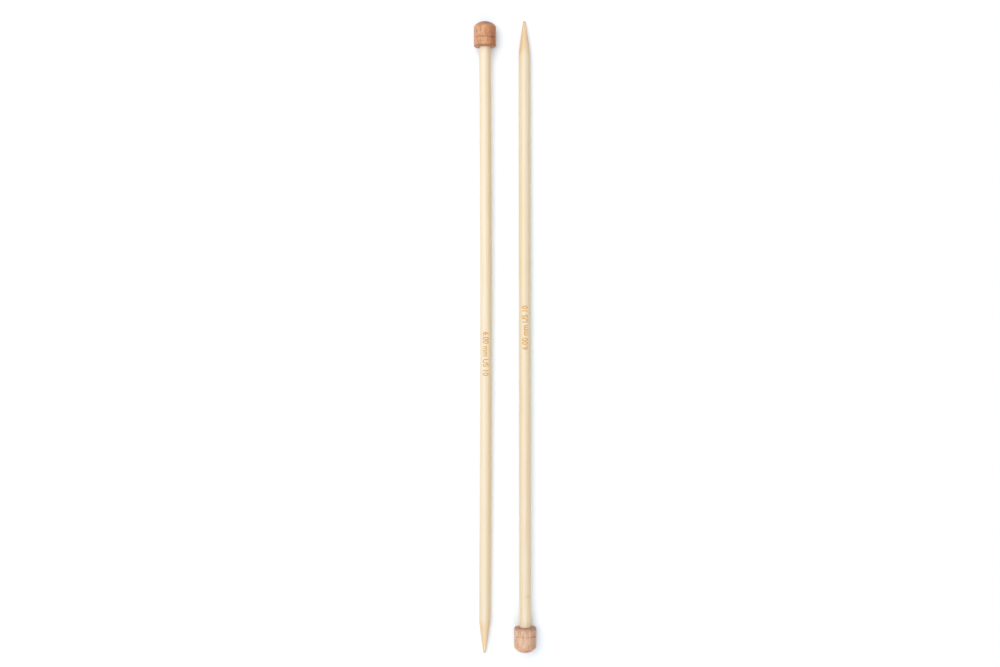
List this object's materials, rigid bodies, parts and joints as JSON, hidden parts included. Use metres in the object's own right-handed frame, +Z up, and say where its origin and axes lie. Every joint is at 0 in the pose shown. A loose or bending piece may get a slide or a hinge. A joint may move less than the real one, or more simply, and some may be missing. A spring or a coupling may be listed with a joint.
{
  "type": "straight knitting needles",
  "caption": "Pair of straight knitting needles with turned wooden knobs, lying side by side and turned end for end.",
  "frame": {"origin": "on the surface that the needles lie on, midway between them and midway along them", "axes": "+Y runs along the needles, towards the left needle's knob; +X points to the right needle; +Z is up"},
  "size_m": [0.0326, 0.3306, 0.0117],
  "materials": {
    "bamboo": "waxed, fine straight fibres along the shaft",
    "brown_knob_wood": "satin clear lacquer on flecked orange-brown wood",
    "pale_knob_wood": "satin clear lacquer on pale pinkish wood",
    "wood_glue": "cured, hidden in the joint"
  },
  "bodies": {
    "left_needle": {"left_shaft": "bamboo", "left_knob": "brown_knob_wood", "left_glue": "wood_glue"},
    "right_needle": {"right_shaft": "bamboo", "right_knob": "pale_knob_wood", "right_glue": "wood_glue"}
  },
  "joints": [
    {"name": "right_needle_lift", "type": "slide", "parent": "left_needle", "child": "right_needle", "axis": [0, 0, 1], "range_m": [0, 0.1]}
  ]
}
